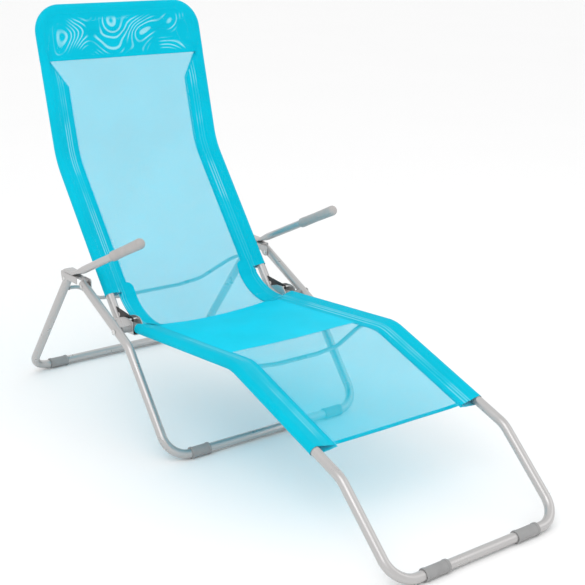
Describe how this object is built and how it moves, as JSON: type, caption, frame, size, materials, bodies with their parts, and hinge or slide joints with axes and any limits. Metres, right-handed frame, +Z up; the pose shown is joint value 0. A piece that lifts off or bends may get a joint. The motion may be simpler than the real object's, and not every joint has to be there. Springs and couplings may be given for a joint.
{
  "type": "folding sun lounger",
  "caption": "Folding, rocking sun lounger: bent silver tube frames, hinged seat and back, short arm rests with grips, and a see-through mesh sling.",
  "frame": {"origin": "on the floor, at the centre of the overall length and width as it stands open for use", "axes": "+X to the sitter's left, +Y towards the head end, -Y towards the foot bar, +Z up"},
  "size_m": [0.5904, 1.447, 0.9765],
  "materials": {
    "silver_steel": "silver-grey powder coat, satin, on steel tube, rod and folded sheet",
    "rivet_metal": "zinc-plated, bright",
    "dark_plate": "black, satin",
    "grey_plastic": "moulded, matt",
    "grip_plastic": "moulded, light grey, satin",
    "mesh_fabric": "open plastic-coated mesh, cyan"
  },
  "bodies": {
    "front_legs": {"front_leg_frame": "silver_steel", "seat_pivot_left": "rivet_metal", "seat_pivot_right": "rivet_metal", "pivot_spacer_left": "grey_plastic", "pivot_spacer_right": "grey_plastic", "arm_bracket_left": "silver_steel", "arm_bracket_right": "silver_steel", "bracket_rivet_left": "rivet_metal", "bracket_rivet_right": "rivet_metal", "rear_leg_pin_left": "rivet_metal", "rear_leg_pin_right": "rivet_metal", "arm_tube_left": "silver_steel", "arm_tube_right": "silver_steel", "arm_grip_left": "grip_plastic", "arm_grip_right": "grip_plastic", "front_leg_cap_left": "grey_plastic", "front_leg_cap_right": "grey_plastic"},
    "rear_legs": {"rear_leg_frame": "silver_steel", "back_brace": "silver_steel", "rear_leg_cap_left": "grey_plastic", "rear_leg_cap_right": "grey_plastic"},
    "seat": {"seat_frame": "silver_steel", "seat_spreader": "silver_steel", "hinge_channel_left": "silver_steel", "hinge_channel_right": "silver_steel", "hinge_pin_left": "rivet_metal", "hinge_pin_right": "rivet_metal", "channel_rivet_left": "rivet_metal", "channel_rivet_right": "rivet_metal", "foot_bar_cap_left": "grey_plastic", "foot_bar_cap_right": "grey_plastic", "seat_sling": "mesh_fabric"},
    "back": {"back_frame": "silver_steel", "hinge_gusset_left": "dark_plate", "hinge_gusset_right": "dark_plate", "back_sling": "mesh_fabric"}
  },
  "joints": [
    {"name": "seat_rock", "type": "hinge", "parent": "front_legs", "child": "seat", "pos_m": [0, 0.236, 0.2575], "axis": [1, 0, 0], "range_deg": [-27, 39]},
    {"name": "back_fold", "type": "hinge", "parent": "seat", "child": "back", "pos_m": [0, 0.25238, 0.27371], "axis": [1, 0, 0], "range_deg": [0, 124]},
    {"name": "rear_leg_fold", "type": "hinge", "parent": "front_legs", "child": "rear_legs", "pos_m": [0, 0.474, 0.3305], "axis": [-1, 0, 0], "range_deg": [0, 96]}
  ]
}
